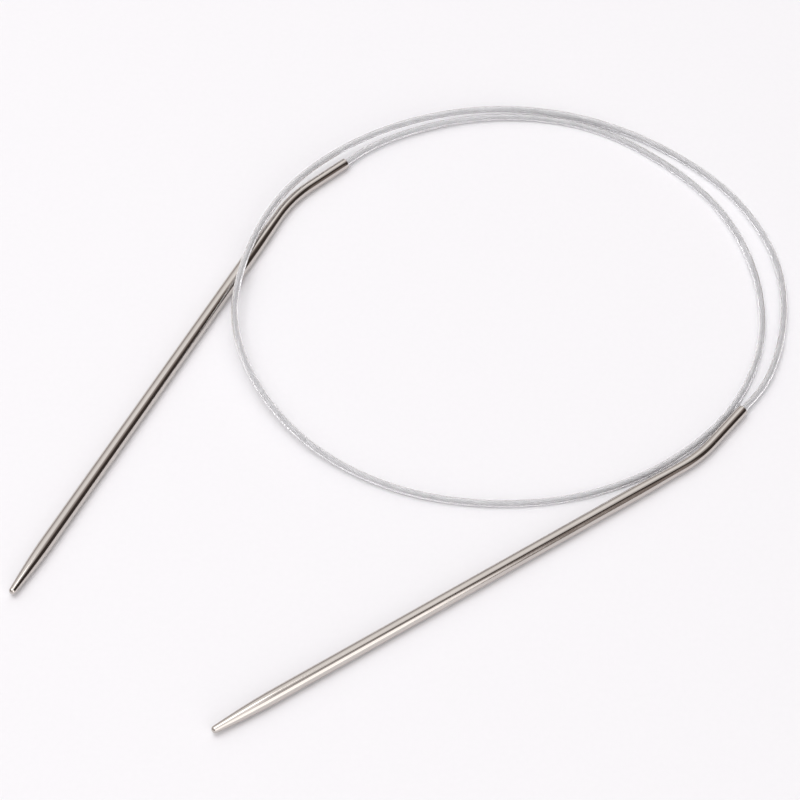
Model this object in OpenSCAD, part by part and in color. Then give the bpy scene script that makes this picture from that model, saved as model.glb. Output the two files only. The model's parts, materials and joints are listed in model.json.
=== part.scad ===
// Circular knitting needle: two bent metal needles joined by one long wire cable in a clear jacket.
// The needles and the cable lie on the plane z = 0. The origin is on that plane, under the middle
// of the two needles.

/* [Needles] */
// Diameter of the straight shaft, which sets the size of the stitches
shaft_d = 3; // [2.5:0.25:4]
// Length from the end of the point to where the lines of the shaft and neck meet
shaft_len = 122; // [100:1:140]
// Length over which the shaft narrows to its point
point_len = 15; // [10:1:20]
// Diameter of the rounded end of the point
point_d = 1.6; // [1:0.1:2]
// Diameter of the neck
neck_d = 2.5; // [2.2:0.1:2.5]
// Length from where the lines of the shaft and neck meet to the end of the neck
neck_len = 16.5; // [14:0.5:20]
// Length over which the shaft narrows to the neck
shoulder_len = 12; // [6:1:20]
// Radius of the bend between shaft and neck
bend_radius = 30; // [15:1:40]
// Bevel at the end of the neck
neck_bevel = 0.2; // [0.1:0.05:0.3]

/* [Cable] */
// Outer diameter of the clear jacket
cable_d = 1.5; // [1.3:0.05:1.5]
// Diameter of the wire rope inside the jacket
rope_d = 1.15; // [0.8:0.05:1.15]
// Gap between the wire rope and the jacket
rope_gap = 0.02; // [0.01:0.01:0.04]
// Length of cable held in each neck
insert_len = 8; // [5:0.5:8]
// Thickness of the adhesive round the cable in each neck
bond_wall = 0.04; // [0.03:0.01:0.1]
// Gap between the adhesive and the cable
bond_gap = 0.01; // [0.01:0.01:0.02]

/* [Smoothness] */
// Number of sides of the cable
cable_sides = 8; // [8:1:12]
// Length of cable between two rings of its surface
ring_step = 8; // [6:0.5:12]
// Number of steps in the curve of the point
point_steps = 12; // [6:1:24]

/* [Hidden] */
$fn = 64;

shaft_r = shaft_d / 2;
point_r = point_d / 2;
neck_r = neck_d / 2;
socket_r = cable_d / 2 + bond_gap + bond_wall;
socket_depth = insert_len + 0.2;
join_overlap = 0.1;
join_step = 0.01;

// Each needle lies with its shaft's and neck's lines meeting at a place on the plane. Its heading
// is the direction from point to neck along the shaft, and its neck turns from there.
left_place = [-21.6, 65.3, shaft_r];
left_heading = 63;
left_turn = -21.5;
right_place = [66.8, -8.4, shaft_r];
right_heading = 34;
right_turn = 17.5;

function direction(angle) = [cos(angle), sin(angle), 0];
left_out = direction(left_heading + left_turn);
right_out = direction(right_heading + right_turn);
left_exit = left_place + neck_len * left_out;
right_exit = right_place + neck_len * right_out;

// The cable runs straight for this far out of each neck
straight_out = 6;
// Height of the cable's centre where it lies on the plane, with a little to spare for its curve
low = 0.8;

// The cable's route: round one loop, over the left shaft, and round again to the right neck
LOOP = [
    [8, 87, 1.45],
    [27, 91, 1.2],
    [46.5, 88, 0.9],
    [63.5, 77, low],
    [76, 62, low],
    [82.5, 43, low],
    [82.3, 23.5, low],
    [74.5, 5, low],
    [60.9, -8.7, low],
    [43, -17.5, low],
    [23, -20.1, 1],
    [3.1, -16.7, 1.5],
    [-13.9, -7.3, 2.3],
    [-26.9, 8.6, 3.2],
    [-33, 27, 3.85],
    [-31, 46.5, 3.95],
    [-23, 65, 3.95],
    [-9.5, 79, 3.65],
    [8.5, 88.8, 3],
    [27, 92.5, 2.2],
    [47.5, 89.6, 1.4],
    [65.5, 80, 0.9],
    [79.6, 65.6, low],
    [87.3, 47.6, 0.9],
    [87.5, 28, 1.2]
];

route = concat(
    [for (d = [-insert_len, 0, straight_out]) left_exit + d * left_out],
    LOOP,
    [for (d = [straight_out, 0, -insert_len]) right_exit + d * right_out]
);

function unit(v) = v / norm(v);

// Slope of a smooth curve through the points p, at point i
function slope(p, i) =
    i == 0 ? unit(p[1] - p[0]) :
    i == len(p) - 1 ? unit(p[i] - p[i - 1]) :
    let (before = p[i] - p[i - 1], after = p[i + 1] - p[i], a = norm(before), b = norm(after))
    (before * b / a + after * a / b) / (a + b);

// Point of that curve a share t of the way from point i to the next
function curve(p, i, t) =
    let (chord = norm(p[i + 1] - p[i]), s = 1 - t)
    s * s * (1 + 2 * t) * p[i] + t * t * (1 + 2 * s) * p[i + 1]
    + chord * s * t * (s * slope(p, i) - t * slope(p, i + 1));

function steps(p, i) = max(1, round(norm(p[i + 1] - p[i]) / ring_step));

// Centres of the rings that the cable's surface is made of
centres = [
    for (i = [0 : len(route) - 2], k = [0 : steps(route, i) - 1]) curve(route, i, k / steps(route, i)),
    route[len(route) - 1]
];
last = len(centres) - 1;

// Points of the ring of radius r round centre i, square to the cable
function ring(i, r) =
    let (
        along = unit(centres[min(i + 1, last)] - centres[max(i - 1, 0)]),
        side = unit(cross([0, 0, 1], along)),
        up = cross(along, side)
    )
    [for (k = [0 : cable_sides - 1])
        let (a = 360 * k / cable_sides) centres[i] + r * (cos(a) * side + sin(a) * up)];

function rings(r) = [for (i = [0 : last]) each ring(i, r)];

// Number of point k of ring i, where k carries on round the ring
function at(i, k) = i * cable_sides + k % cable_sides;

// Faces between each ring and the next, seen from outside, with their points counted from start
function wall(start) = [
    for (i = [0 : last - 1], k = [0 : cable_sides - 1])
        [at(i, k), at(i + 1, k), at(i + 1, k + 1), at(i, k + 1)] + start * [1, 1, 1, 1]
];

// Faces between ring i and the same ring of the bore, seen from behind
function rim(i, bore) = [
    for (k = [0 : cable_sides - 1])
        [at(i, k), at(i, k + 1), bore + at(i, k + 1), bore + at(i, k)]
];

function turned_over(faces) = [for (f = faces) [for (i = [len(f) - 1 : -1 : 0]) f[i]]];

// The same cable all the way along the route, as a solid rod or as a tube with a bore
module rod(r) {
    cap = [for (k = [0 : cable_sides - 1]) k];
    far_cap = [for (k = cap) at(last, k)];
    polyhedron(rings(r), concat(wall(0), [cap], turned_over([far_cap])));
}

module tube(r, bore_r) {
    bore = len(rings(r));
    outside = concat(wall(0), rim(0, bore));
    inside = concat(wall(bore), rim(last, bore));
    polyhedron(concat(rings(r), rings(bore_r)), concat(outside, turned_over(inside)));
}

// The shaft stands on its neck end, with its point up: a shoulder, a straight length and the point
module shaft(length) {
    curve_len = point_len - point_r;
    rotate_extrude()
        polygon(concat(
            [[0, 0], [neck_r, 0], [shaft_r, shoulder_len]],
            [for (k = [0 : point_steps])
                let (t = k / point_steps)
                    [point_r + (shaft_r - point_r) * cos(90 * t), length - point_len + curve_len * t]],
            [for (a = [15 : 15 : 75]) [point_r * cos(a), length - point_r + point_r * sin(a)]],
            [[0, length]]
        ));
}

// The neck stands on its bent end, with its mouth up. It starts just inside the bend, and is a hair
// slimmer, so that the two join cleanly.
module neck(length) {
    r = neck_r - join_step;
    translate([0, 0, -join_overlap])
        rotate_extrude()
            polygon([
                [0, 0],
                [r, 0],
                [r, length + join_overlap - neck_bevel],
                [r - neck_bevel, length + join_overlap],
                [0, length + join_overlap]
            ]);
}

// The bend goes round from the line of the shaft to the line of the neck
module bend(turn) {
    rotate_extrude(angle = turn)
        translate([bend_radius, 0])
            circle(neck_r);
}

// A place along the neck's line, at distance d from where it meets the shaft's line
module on_neck(turn, d) {
    rotate(turn)
        translate([d, 0, 0])
            rotate([0, 90, 0])
                children();
}

// The needle lies along X with its point towards -X, and its neck turns to the left
module needle(turn) {
    reach = bend_radius * tan(turn / 2);
    difference() {
        union() {
            translate([-reach, 0, 0])
                rotate([0, -90, 0])
                    shaft(shaft_len - reach);
            translate([-reach, bend_radius, 0])
                rotate(-90)
                    bend(turn);
            on_neck(turn, reach)
                neck(neck_len - reach);
        }
        on_neck(turn, neck_len - socket_depth)
            cylinder(h = socket_depth + 1, r = socket_r);
    }
}

// A sleeve of adhesive holds the end of the cable in the neck
module bond(turn) {
    on_neck(turn, neck_len - insert_len)
        difference() {
            cylinder(h = insert_len, r = socket_r);
            translate([0, 0, -1])
                cylinder(h = insert_len + 2, r = cable_d / 2 + bond_gap);
        }
}

// The left needle is a right needle turned over
module left_side() {
    translate(left_place)
        rotate(left_heading)
            mirror([0, 1, 0])
                children();
}

module right_side() {
    translate(right_place)
        rotate(right_heading)
            children();
}

module left_needle() {
    color("silver")
        left_side()
            needle(-left_turn);
}

module right_needle() {
    color("silver")
        right_side()
            needle(right_turn);
}

module cable_jacket() {
    color([0.8, 0.83, 0.86, 0.4])
        tube(cable_d / 2, rope_d / 2 + rope_gap);
}

module wire_rope() {
    color("dimgray")
        rod(rope_d / 2);
}

module left_bond() {
    color("burlywood")
        left_side()
            bond(-left_turn);
}

module right_bond() {
    color("burlywood")
        right_side()
            bond(right_turn);
}

left_needle();
right_needle();
cable_jacket();
wire_rope();
left_bond();
right_bond();
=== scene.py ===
"""A circular knitting needle: two polished needles and the wire cable between them.

Lengths are in metres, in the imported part's own frame. Angles are in degrees where a name says so,
and in radians elsewhere.
"""

import json
import math

import bpy
import numpy as np
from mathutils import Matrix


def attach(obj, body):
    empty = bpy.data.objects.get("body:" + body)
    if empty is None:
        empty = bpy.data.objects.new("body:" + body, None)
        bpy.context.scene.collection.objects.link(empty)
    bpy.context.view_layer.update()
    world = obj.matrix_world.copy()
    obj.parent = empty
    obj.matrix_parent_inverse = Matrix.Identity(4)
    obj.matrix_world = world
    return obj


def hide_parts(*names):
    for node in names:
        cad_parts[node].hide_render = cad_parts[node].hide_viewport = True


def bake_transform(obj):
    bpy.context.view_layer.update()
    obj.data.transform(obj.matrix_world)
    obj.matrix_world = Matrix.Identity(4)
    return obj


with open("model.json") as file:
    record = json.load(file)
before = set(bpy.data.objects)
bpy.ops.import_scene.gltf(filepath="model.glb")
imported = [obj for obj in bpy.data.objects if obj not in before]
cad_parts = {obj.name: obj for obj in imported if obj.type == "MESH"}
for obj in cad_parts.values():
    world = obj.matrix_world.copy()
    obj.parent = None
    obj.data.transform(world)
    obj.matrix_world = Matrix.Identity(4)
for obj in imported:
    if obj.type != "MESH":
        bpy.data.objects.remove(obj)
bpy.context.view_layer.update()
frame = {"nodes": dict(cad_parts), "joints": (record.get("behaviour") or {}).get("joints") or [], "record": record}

# ---------------------------------------------------------------- sizes

# Needles, as in the CAD
POINT_LENGTH = 0.015
POINT_RADIUS = 0.0008
SHAFT_LENGTH = 0.122
SHOULDER_LENGTH = 0.012
NECK_LENGTH = 0.0165
NECK_RADIUS = 0.00124
BEND_RADIUS = 0.030
SOCKET_RADIUS = 0.0008
SOCKET_DEPTH = 0.0082
# Rounded lip at the neck's end, and the bevel at the socket's mouth
LIP_RADIUS = 0.0002
MOUTH_BEVEL = 0.00008

# Cable, as in the CAD
CABLE_RADIUS = 0.00075
JACKET_BORE = 0.000595
INSERT_LENGTH = 0.008
STRAIGHT_OUT = 0.006
LOW = 0.0008
LOOP = [
    (0.008, 0.087, 0.00145),
    (0.027, 0.091, 0.0012),
    (0.0465, 0.088, 0.0009),
    (0.0635, 0.077, LOW),
    (0.076, 0.062, LOW),
    (0.0825, 0.043, LOW),
    (0.0823, 0.0235, LOW),
    (0.0745, 0.005, LOW),
    (0.0609, -0.0087, LOW),
    (0.043, -0.0175, LOW),
    (0.023, -0.0201, 0.001),
    (0.0031, -0.0167, 0.0015),
    (-0.0139, -0.0073, 0.0023),
    (-0.0269, 0.0086, 0.0032),
    (-0.033, 0.027, 0.00385),
    (-0.031, 0.0465, 0.00395),
    (-0.023, 0.065, 0.00395),
    (-0.0095, 0.079, 0.00365),
    (0.0085, 0.0888, 0.003),
    (0.027, 0.0925, 0.0022),
    (0.0475, 0.0896, 0.0014),
    (0.0655, 0.08, 0.0009),
    (0.0796, 0.0656, LOW),
    (0.0873, 0.0476, 0.0009),
    (0.0875, 0.028, 0.0012),
]
# The cable is made in two halves, which meet at this point of the loop
MEETING_POINT = 12

# Strands of the wire rope
STRANDS = 6
STRAND_RADIUS = 0.000188
CORE_RADIUS = 0.000195
HELIX_RADIUS = 0.000382
LAY = 0.009

# Sides of each round mesh, and the distance between two of its rings
NEEDLE_SIDES = 72
JACKET_SIDES = 28
STRAND_SIDES = 10
JACKET_STEP = 0.0012
CORE_STEP = 0.0015
STRAND_STEP = 0.0006

# Camera
LOOK_AT = (0.0032, 0.00835, 0.0)
CAMERA_ELEVATION = 52
CAMERA_DISTANCE = 0.6767
CAMERA_LENS = 140.6
SENSOR_WIDTH = 36
FARTHEST_SEEN = 10

UP = np.array([0.0, 0.0, 1.0])


def unit(v):
    """v, or each row of v, at length 1."""
    v = np.asarray(v, float)
    return v / np.linalg.norm(v, axis=-1, keepdims=True)


def compass(azimuth, elevation):
    """Unit vector at these degrees: azimuth from +X towards +Y, elevation from the floor."""
    a, e = math.radians(azimuth), math.radians(elevation)
    return np.array([math.cos(a) * math.cos(e), math.sin(a) * math.cos(e), math.sin(e)])


# ---------------------------------------------------------------- camera


def add_camera():
    data = bpy.data.cameras.new("camera")
    data.lens = CAMERA_LENS
    data.sensor_width = SENSOR_WIDTH
    data.clip_end = FARTHEST_SEEN
    camera = bpy.data.objects.new("camera", data)
    bpy.context.scene.collection.objects.link(camera)
    camera.location = np.array(LOOK_AT) + CAMERA_DISTANCE * compass(-90, CAMERA_ELEVATION)
    camera.rotation_euler = (math.radians(90 - CAMERA_ELEVATION), 0, 0)
    bpy.context.scene.camera = camera


# ---------------------------------------------------------------- places taken from the frame


def joint_place(name):
    """Where a joint's axis stands, which is where the cable leaves that needle."""
    return np.array(next(j["pos_m"] for j in frame["joints"] if j["name"] == name), float)


def shaft_mount(name):
    """A shaft's middle, its direction towards the point, and its radius."""
    mount = next(m for m in frame["record"]["mounts"] if m["name"] == name)
    return np.array(mount["pos_m"], float), unit(mount["axis"]), mount["dims"]["r_mm"] / 1000


class Needle:
    """The line down the middle of one needle, from its point (0) to the mouth of its neck."""

    def __init__(self, side):
        middle, to_point, self.radius = shaft_mount(side + "_shaft")
        self.exit = joint_place(side + "_cable_flex")
        # The shaft's line and the neck's line meet NECK_LENGTH from the exit
        along = (self.exit - middle) @ to_point
        across = np.linalg.norm(self.exit - middle - along * to_point)
        corner = middle + to_point * (along + math.sqrt(NECK_LENGTH**2 - across**2))
        self.out = unit(self.exit - corner)
        self.way = -to_point
        turn = math.atan2(np.cross(self.way, self.out) @ UP, self.way @ self.out)
        self.turn, self.hand = abs(turn), math.copysign(1, turn)
        reach = BEND_RADIUS * math.tan(self.turn / 2)
        self.point = corner + SHAFT_LENGTH * to_point
        self.bend_start = SHAFT_LENGTH - reach
        self.bend_end = self.bend_start + BEND_RADIUS * self.turn
        self.length = self.bend_end + NECK_LENGTH - reach
        self.inward = self.hand * np.cross(UP, self.way)

    def line(self, s):
        """Places and directions at distances s along the needle."""
        s = np.asarray(s, float)[:, None]
        angle = np.clip((s - self.bend_start) / BEND_RADIUS, 0, self.turn)
        direction = np.cos(angle) * self.way + np.sin(angle) * self.inward
        before = np.minimum(s, self.bend_start) * self.way
        bend = BEND_RADIUS * (np.sin(angle) * self.way + (1 - np.cos(angle)) * self.inward)
        after = np.maximum(s - self.bend_end, 0) * self.out
        return self.point + before + bend + after, direction


# ---------------------------------------------------------------- cable's line


class CableLine:
    """The smooth line down the middle of the cable, from inside one neck to inside the other."""

    SAMPLES = 400

    def __init__(self, left, right):
        inside_and_out = (-INSERT_LENGTH, 0, STRAIGHT_OUT)
        start = [left.exit + d * left.out for d in inside_and_out]
        end = [right.exit + d * right.out for d in reversed(inside_and_out)]
        route = np.array(start + [np.array(p) for p in LOOP] + end)
        chord = np.linalg.norm(np.diff(route, axis=0), axis=1)
        slope = self.slopes(route, chord)
        t = np.linspace(0, 1, self.SAMPLES, endpoint=False)[:, None]
        places, directions = [], []
        for i, length in enumerate(chord):
            p, q, u, v = route[i], route[i + 1], slope[i], slope[i + 1]
            places.append(
                (1 - t) ** 2 * (1 + 2 * t) * p
                + t**2 * (3 - 2 * t) * q
                + length * t * (1 - t) * ((1 - t) * u - t * v)
            )
            directions.append(
                6 * t * (1 - t) * (q - p) / length
                + (1 - t) * (1 - 3 * t) * u
                + t * (3 * t - 2) * v
            )
        self.places = np.vstack(places + [route[-1:]])
        self.directions = unit(np.vstack(directions + [slope[-1:]]))
        steps = np.linalg.norm(np.diff(self.places, axis=0), axis=1)
        self.distance = np.concatenate([[0], np.cumsum(steps)])
        self.length = self.distance[-1]
        # Distance along the line at which the cable's two halves meet
        self.meeting = self.distance[self.SAMPLES * (len(start) + MEETING_POINT)]

    @staticmethod
    def slopes(route, chord):
        """Slope at each point of the route: the two chords beside it, the shorter counting more."""
        steps = np.diff(route, axis=0) / chord[:, None]
        a, b = chord[:-1, None], chord[1:, None]
        middle = (steps[1:] * a + steps[:-1] * b) / (a + b)
        return np.vstack([steps[:1], middle, steps[-1:]])

    def line(self, s):
        """Places and directions at distances s along the cable."""
        place = [np.interp(s, self.distance, self.places[:, k]) for k in range(3)]
        direction = [np.interp(s, self.distance, self.directions[:, k]) for k in range(3)]
        return np.stack(place, 1), unit(np.stack(direction, 1))


class StrandLine:
    """The line of one outer strand, which winds round the cable's line."""

    def __init__(self, cable, number):
        self.cable = cable
        self.start_angle = 2 * math.pi * number / STRANDS

    def line(self, s):
        place, direction = self.cable.line(s)
        side = unit(np.cross(UP, direction))
        up = np.cross(direction, side)
        angle = (self.start_angle + 2 * math.pi * np.asarray(s) / LAY)[:, None]
        outward = np.cos(angle) * side + np.sin(angle) * up
        around = np.cos(angle) * up - np.sin(angle) * side
        pitch = 2 * math.pi * HELIX_RADIUS / LAY
        return place + HELIX_RADIUS * outward, unit(direction + pitch * around)


# ---------------------------------------------------------------- meshes


def turned(line, profile, sides):
    """Vertices, faces and grain of a round surface turned about a line.

    profile is a list of (distance along the line, radius). Where it starts and ends at radius 0
    the surface closes at two poles, and elsewhere its end joins its start. grain is each vertex's
    place as if the line were straight, for textures that follow it.
    """
    s = np.array([p[0] for p in profile], float)
    radius = np.array([p[1] for p in profile], float)
    place, direction = line(s)
    side = unit(np.cross(UP, direction))
    up = np.cross(direction, side)
    angle = 2 * math.pi * np.arange(sides) / sides
    circle = np.stack([np.cos(angle), np.sin(angle)], 1)
    rings = place[:, None] + radius[:, None, None] * (
        circle[None, :, :1] * side[:, None] + circle[None, :, 1:] * up[:, None]
    )
    grain = np.concatenate(
        [
            radius[:, None, None] * np.broadcast_to(circle, (len(s), sides, 2)),
            np.broadcast_to(s[:, None, None], (len(s), sides, 1)),
        ],
        axis=2,
    )
    poles = radius[0] == 0 and radius[-1] == 0
    number = np.arange(len(s) * sides).reshape(len(s), sides)
    if poles:
        number = number[1:-1]
    follow = np.roll(number, -1, axis=1)
    ahead = number[1:] if poles else np.roll(number, -1, axis=0)
    ahead_follow = follow[1:] if poles else np.roll(follow, -1, axis=0)
    last = -1 if poles else None
    quads = np.stack([number[:last], ahead, ahead_follow, follow[:last]], axis=2).reshape(-1, 4)
    faces = quads.tolist()
    if poles:
        first_pole, last_pole = 0, (len(s) - 1) * sides
        faces += [[first_pole, a, b] for a, b in zip(number[0], follow[0])]
        faces += [[last_pole, b, a] for a, b in zip(number[-1], follow[-1])]
    return rings.reshape(-1, 3), faces, grain.reshape(-1, 3)


def add_mesh(name, parts, material, sharp_degrees=50):
    """One object from a list of (vertices, faces, grain), smooth apart from its sharp edges."""
    vertices, faces, grains, count = [], [], [], 0
    for v, f, g in parts:
        used, new = np.unique(np.concatenate([np.ravel(face) for face in f]), return_inverse=True)
        place = dict(zip(used.tolist(), range(count, count + len(used))))
        vertices.append(v[used])
        grains.append(g[used])
        faces += [[place[int(i)] for i in face] for face in f]
        count += len(used)
    mesh = bpy.data.meshes.new(name)
    mesh.from_pydata(np.vstack(vertices).tolist(), [], faces)
    grain = mesh.attributes.new("grain", "FLOAT_VECTOR", "POINT")
    grain.data.foreach_set("vector", np.vstack(grains).astype(np.float32).ravel())
    mesh.shade_smooth()
    mesh.set_sharp_from_angle(angle=math.radians(sharp_degrees))
    mesh.materials.append(material)
    thing = bpy.data.objects.new(name, mesh)
    bpy.context.scene.collection.objects.link(thing)
    return thing


def needle_profile(needle):
    """Round end, curved point, shaft, shoulder, neck with a rounded lip, and the socket in it."""
    curve = POINT_LENGTH - POINT_RADIUS
    profile = [(0.0, 0.0)]
    for a in np.radians(np.linspace(5, 90, 18))[:-1]:
        profile.append((POINT_RADIUS * (1 - math.cos(a)), POINT_RADIUS * math.sin(a)))
    for t in np.linspace(0, 1, 48):
        widening = (needle.radius - POINT_RADIUS) * math.sin(math.pi / 2 * t)
        profile.append((POINT_RADIUS + curve * t, POINT_RADIUS + widening))
    shoulder = needle.bend_start - SHOULDER_LENGTH
    profile += [(s, needle.radius) for s in np.linspace(POINT_LENGTH, shoulder, 46)[1:-1]]
    for t in np.linspace(0, 1, 24):
        drop = (needle.radius - NECK_RADIUS) * (3 * t**2 - 2 * t**3)
        profile.append((shoulder + SHOULDER_LENGTH * t, needle.radius - drop))
    profile += [(s, NECK_RADIUS) for s in np.linspace(needle.bend_start, needle.bend_end, 24)[1:]]
    lip = needle.length - LIP_RADIUS
    profile += [(s, NECK_RADIUS) for s in np.linspace(needle.bend_end, lip, 10)[1:-1]]
    for a in np.radians(np.linspace(0, 90, 7)):
        inset = LIP_RADIUS * (1 - math.cos(a))
        profile.append((lip + LIP_RADIUS * math.sin(a), NECK_RADIUS - inset))
    profile += [
        (needle.length, SOCKET_RADIUS + MOUTH_BEVEL),
        (needle.length - MOUTH_BEVEL, SOCKET_RADIUS),
        (needle.length - SOCKET_DEPTH, SOCKET_RADIUS),
        (needle.length - SOCKET_DEPTH, 0.0),
    ]
    return profile


def tube_profile(start, end, outer, bore, step):
    """A tube's outside from start to end, and its bore on the way back."""
    s = np.linspace(start, end, 1 + round((end - start) / step))
    return [(d, outer) for d in s] + [(d, bore) for d in s[::-1]]


def rod_profile(start, end, radius, step):
    s = np.linspace(start, end, 1 + round((end - start) / step))
    return [(start, 0.0)] + [(d, radius) for d in s] + [(end, 0.0)]


# ---------------------------------------------------------------- materials


class Nodes:
    """A node tree, built one node at a time."""

    def __init__(self, tree):
        self.tree = tree

    def add(self, kind, inputs=None, **settings):
        node = self.tree.nodes.new("ShaderNode" + kind)
        for name, value in settings.items():
            setattr(node, name, value)
        for name, value in (inputs or {}).items():
            self.feed(node.inputs[name], value)
        return node

    def feed(self, socket, value):
        if isinstance(value, bpy.types.NodeSocket):
            self.tree.links.new(value, socket)
        else:
            socket.default_value = value

    def math(self, operation, *values):
        made = self.add("Math", operation=operation)
        for socket, value in zip(made.inputs, values):
            self.feed(socket, value)
        return made.outputs[0]

    def fit(self, value, low, high, to_low, to_high, **settings):
        """value from low to high, as a number from to_low to to_high, and no further."""
        ends = {"From Min": low, "From Max": high, "To Min": to_low, "To Max": to_high}
        return self.add("MapRange", {"Value": value, **ends}, **settings).outputs["Result"]

    def mix(self, share, a, b):
        made = self.add("Mix", data_type="RGBA")
        for socket, value in zip((made.inputs[0], made.inputs[6], made.inputs[7]), (share, a, b)):
            self.feed(socket, value)
        return made.outputs[2]


class Surface(Nodes):
    """A material whose textures follow the piece or its object."""

    def __init__(self, name):
        self.material = bpy.data.materials.new(name)
        self.material.use_nodes = True
        super().__init__(self.material.node_tree)
        self.shader = self.tree.nodes["Principled BSDF"]

    def set(self, **inputs):
        for name, value in inputs.items():
            self.feed(self.shader.inputs[name.replace("_", " ")], value)

    def grain(self, across, along):
        """Coordinates along the piece's own line, at this many cycles a metre across and along."""
        source = self.add("Attribute", attribute_name="grain").outputs["Vector"]
        return self.add("Mapping", {"Vector": source, "Scale": (across, across, along)}).outputs[0]

    def place(self, fineness):
        """Coordinates in the object, at this many cycles a metre."""
        source = self.add("TexCoord").outputs["Object"]
        return self.add("Mapping", {"Vector": source, "Scale": (fineness,) * 3}).outputs[0]

    def noise(self, vector, detail=3.0, roughness=0.5):
        inputs = {"Vector": vector, "Scale": 1.0, "Detail": detail, "Roughness": roughness}
        return self.add("TexNoise", inputs).outputs["Fac"]

    def bump(self, height, strength, distance, normal=None):
        inputs = {"Height": height, "Strength": strength, "Distance": distance}
        if normal is not None:
            inputs["Normal"] = normal
        return self.add("Bump", inputs).outputs["Normal"]


def needle_metal():
    """Polished steel with draw lines, fine scratches and dull patches from handling."""
    m = Surface("needle_metal")
    draw_lines = m.noise(m.grain(9000, 60), 2.0)
    scratches = m.noise(m.grain(2500, 900), 4.0, 0.65)
    patches = m.noise(m.grain(120, 60), 3.0)
    dark, light, in_lines = (0.60, 0.562, 0.53, 1), (0.64, 0.60, 0.567, 1), (0.30, 0.27, 0.25, 1)
    base = m.mix(m.fit(patches, 0.35, 0.65, 0, 1), dark, light)
    lined = m.mix(m.fit(draw_lines, 0.3, 0.7, 0.12, 0), base, in_lines)
    dull = m.fit(patches, 0.35, 0.7, 0.06, 0.11)
    rough = m.math("ADD", dull, m.fit(scratches, 0.4, 0.75, 0, 0.05))
    lines = m.bump(draw_lines, 0.12, 0.000008)
    m.set(
        Base_Color=lined,
        Metallic=1.0,
        Roughness=rough,
        Normal=m.bump(scratches, 0.06, 0.000006, lines),
    )
    return m.material


def strand_metal():
    """Drawn steel wires laid up in strands, with painted shade between the wires."""
    m = Surface("strand_metal")
    fine = m.noise(m.grain(14000, 500), 2.0)
    length = m.noise(m.grain(300, 220), 3.0)
    # The darkest colour is painted shade between the wires, laid on in streaks by a fine noise
    dark, light, painted_gap_shade = (0.50, 0.50, 0.515, 1), (0.58, 0.58, 0.595, 1), (0.18, 0.18, 0.19, 1)
    base = m.mix(m.fit(length, 0.35, 0.65, 0, 1), dark, light)
    m.set(
        Base_Color=m.mix(m.fit(fine, 0.35, 0.6, 0.35, 0), base, painted_gap_shade),
        Metallic=0.3,
        Roughness=m.fit(fine, 0.3, 0.7, 0.6, 0.45),
        Normal=m.bump(fine, 0.5, 0.00002),
    )
    return m.material


def clear_nylon():
    """The cable's clear jacket, smooth with a faint haze and ripple from its extrusion."""
    m = Surface("clear_nylon")
    ripple = m.noise(m.grain(900, 260), 3.0)
    haze = m.noise(m.grain(350, 90), 4.0)
    dark, light = (0.80, 0.80, 0.81, 1), (0.86, 0.86, 0.87, 1)
    m.set(
        Base_Color=m.mix(m.fit(haze, 0.3, 0.7, 0, 1), dark, light),
        Roughness=m.fit(haze, 0.3, 0.7, 0.12, 0.2),
        Specular_IOR_Level=0.2,
        IOR=1.25,
        Transmission_Weight=0.8,
        Normal=m.bump(ripple, 0.08, 0.00002),
    )
    return m.material


def bonded_nylon():
    """The nylon's bore and ends, where light goes straight on into the rope or the other half."""
    m = Surface("bonded_nylon")
    clear = m.add("BsdfTransparent")
    m.feed(m.tree.nodes["Material Output"].inputs["Surface"], clear.outputs["BSDF"])
    return m.material


def adhesive():
    """Set amber adhesive, slightly cloudy."""
    m = Surface("adhesive")
    cloud = m.noise(m.place(3000))
    dark, light = (0.42, 0.33, 0.18, 1), (0.55, 0.46, 0.28, 1)
    m.set(
        Base_Color=m.mix(m.fit(cloud, 0.3, 0.7, 0, 1), dark, light),
        Roughness=m.fit(cloud, 0.3, 0.7, 0.2, 0.4),
        IOR=1.5,
        Coat_Weight=0.4,
        Normal=m.bump(cloud, 0.2, 0.00002),
    )
    return m.material


def pale_floor():
    """Matt white card with a very faint fibre."""
    m = Surface("pale_floor")
    fibre = m.noise(m.place(900), 4.0)
    dark, light = (0.868, 0.865, 0.892, 1), (0.878, 0.875, 0.902, 1)
    m.set(
        Base_Color=m.mix(m.fit(fibre, 0.3, 0.7, 0, 1), dark, light),
        Roughness=0.75,
        Specular_IOR_Level=0.15,
        Normal=m.bump(fibre, 0.05, 0.00005),
    )
    return m.material


# ---------------------------------------------------------------- pieces


def add_needle(side, needle, material):
    surface = turned(needle.line, needle_profile(needle), NEEDLE_SIDES)
    body = add_mesh(side + "_needle_body", [surface], material)
    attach(body, side + "_needle")
    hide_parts(side + "_needle")


def add_cable_half(side, cable, start, end, jacket_material, bonded_material, rope_material):
    """The jacket and rope of half the cable."""
    profile = tube_profile(start, end, CABLE_RADIUS, JACKET_BORE, JACKET_STEP)
    surface = turned(cable.line, profile, JACKET_SIDES)
    jacket = add_mesh(side + "_jacket", [surface], jacket_material)
    # Its outside comes first in its faces, and its ends and bore are bonded
    jacket.data.materials.append(bonded_material)
    outside = (len(profile) // 2 - 1) * JACKET_SIDES
    for face in jacket.data.polygons[outside:]:
        face.material_index = 1
    core_profile = rod_profile(start, end, CORE_RADIUS, CORE_STEP)
    strand_profile = rod_profile(start, end, STRAND_RADIUS, STRAND_STEP)
    strands = [turned(cable.line, core_profile, STRAND_SIDES)]
    for number in range(STRANDS):
        strand = StrandLine(cable, number)
        strands.append(turned(strand.line, strand_profile, STRAND_SIDES))
    rope = add_mesh(side + "_rope", strands, rope_material)
    return jacket, rope


left, right = Needle("left"), Needle("right")
cable = CableLine(left, right)

add_camera()

nylon, bonded, wire = clear_nylon(), bonded_nylon(), strand_metal()
PATH_POINTS = 240
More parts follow.
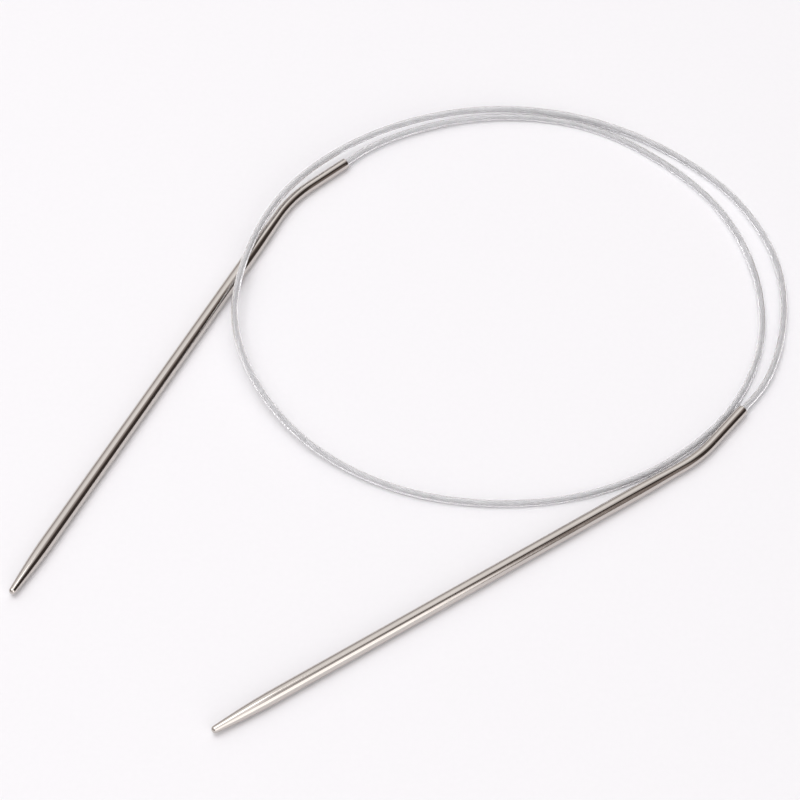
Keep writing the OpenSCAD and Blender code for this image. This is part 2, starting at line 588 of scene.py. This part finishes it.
# Each half runs along its stretch of the cable's line, on either side of the meeting point
halves = {"left": (0.0, cable.meeting), "right": (cable.meeting, cable.length)}
for side, needle in (("left", left), ("right", right)):
    start, end = halves[side]
    jacket, rope = add_cable_half(side, cable, start, end, nylon, bonded, wire)
    # Light comes through the jacket to the floor
    jacket.visible_shadow = False
    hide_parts("cable_jacket")
    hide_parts("wire_rope")
    for piece in (jacket, rope):
        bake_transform(piece)
    path = cable.line(np.linspace(start, end, PATH_POINTS))[0]

metal = needle_metal()
add_needle("left", left, metal)
add_needle("right", right, metal)
glue = adhesive()
for name in ("left_bond", "right_bond"):
    frame["nodes"][name].data.materials.clear()
    frame["nodes"][name].data.materials.append(glue)

# ---------------------------------------------------------------- stage


FLOOR_REACH = 3.0


def add_floor():
    mesh = bpy.data.meshes.new("floor")
    signs = [(-1, -1), (1, -1), (1, 1), (-1, 1)]
    corners = [(x * FLOOR_REACH, y * FLOOR_REACH, 0) for x, y in signs]
    mesh.from_pydata(corners, [], [(0, 1, 2, 3)])
    mesh.materials.append(pale_floor())
    floor = bpy.data.objects.new("floor", mesh)
    bpy.context.scene.collection.objects.link(floor)


def add_softbox(name, azimuth, elevation, distance, size, power):
    data = bpy.data.lights.new(name, "AREA")
    data.shape = "RECTANGLE"
    data.size, data.size_y = size
    data.energy = power
    light = bpy.data.objects.new(name, data)
    bpy.context.scene.collection.objects.link(light)
    away = compass(azimuth, elevation)
    light.location = away * distance
    light.rotation_euler = (math.radians(90 - elevation), 0, math.radians(azimuth + 90))


# What the metal mirrors: a studio that is brighter overhead than low down, with dark screens round
# it, each (azimuths, their blur, elevations, their blur, brightness), and a window
LOW_SKY, HIGH_SKY = 0.42, 1.12
# It grows brighter between these elevations
SKY_CHANGES = (12, 50)
SCREENS = [
    ((-38, 0), 3, (4, 57), 5, 0.25),
    ((-19, 9), 6, (4, 70), 5, 0.04),
    ((0, 50), 10, (-6, 60), 28, 0.04),
    ((-112, -92), 8, (5, 50), 10, 0.2),
    ((-180, -150), 8, (6, 42), 8, 0.1),
]
WINDOW = ((-88, -10), 5, (3, 49), 5, 1.8)
# The window lies on this side of its slanting edge, which is blurred over these sines
WINDOW_SIDE = (-127.4, 9.5)
WINDOW_EDGE = (-0.005, 0.02)
# Dark parts of the sky are warm in colour, and parts this bright or more are neutral
SCREEN_TINT = (1.2, 0.95, 0.85, 1)
SKY_TINT = (1.01, 0.99, 0.985, 1)
NEUTRAL_FROM = 0.6


def add_world():
    world = bpy.data.worlds.new("studio")
    bpy.context.scene.world = world
    world.use_nodes = True
    sky = Nodes(world.node_tree)
    direction = sky.add("TexCoord").outputs["Generated"]
    x, y, z = sky.add("SeparateXYZ", {"Vector": direction}).outputs
    azimuth = sky.math("DEGREES", sky.math("ARCTAN2", y, x))
    elevation = sky.math("DEGREES", sky.math("ARCSINE", z))

    def inside(value, ends, blur):
        """1 between the ends and 0 outside them, blurred over this much on either side of each."""
        smooth = {"interpolation_type": "SMOOTHSTEP"}
        rise = sky.fit(value, ends[0] - blur, ends[0] + blur, 0, 1, **smooth)
        fall = sky.fit(value, ends[1] - blur, ends[1] + blur, 1, 0, **smooth)
        return sky.math("MULTIPLY", rise, fall)

    def patch(azimuths, azimuth_blur, elevations, elevation_blur, level, share=1.0):
        """The sky's brightness with this patch put over it."""
        across = inside(azimuth, azimuths, azimuth_blur)
        cover = sky.math("MULTIPLY", across, inside(elevation, elevations, elevation_blur))
        change = sky.math("MULTIPLY", sky.math("SUBTRACT", level, brightness), share)
        return sky.math("MULTIPLY_ADD", cover, change, brightness)

    brightness = sky.fit(elevation, *SKY_CHANGES, LOW_SKY, HIGH_SKY)
    for screen in SCREENS:
        brightness = patch(*screen)
    facing = sky.add("VectorMath", operation="DOT_PRODUCT")
    sky.feed(facing.inputs[0], direction)
    sky.feed(facing.inputs[1], tuple(compass(*WINDOW_SIDE)))
    brightness = patch(*WINDOW, sky.fit(facing.outputs["Value"], *WINDOW_EDGE, 0, 1))
    background = world.node_tree.nodes["Background"]
    tint = sky.mix(sky.fit(brightness, 0, NEUTRAL_FROM, 0, 1), SCREEN_TINT, SKY_TINT)
    sky.feed(background.inputs["Color"], tint)
    sky.feed(background.inputs["Strength"], brightness)


add_floor()
add_world()
add_softbox("key", azimuth=180, elevation=76, distance=1.0, size=(0.7, 0.7), power=3.1)
bpy.context.scene.view_settings.view_transform = "Standard"
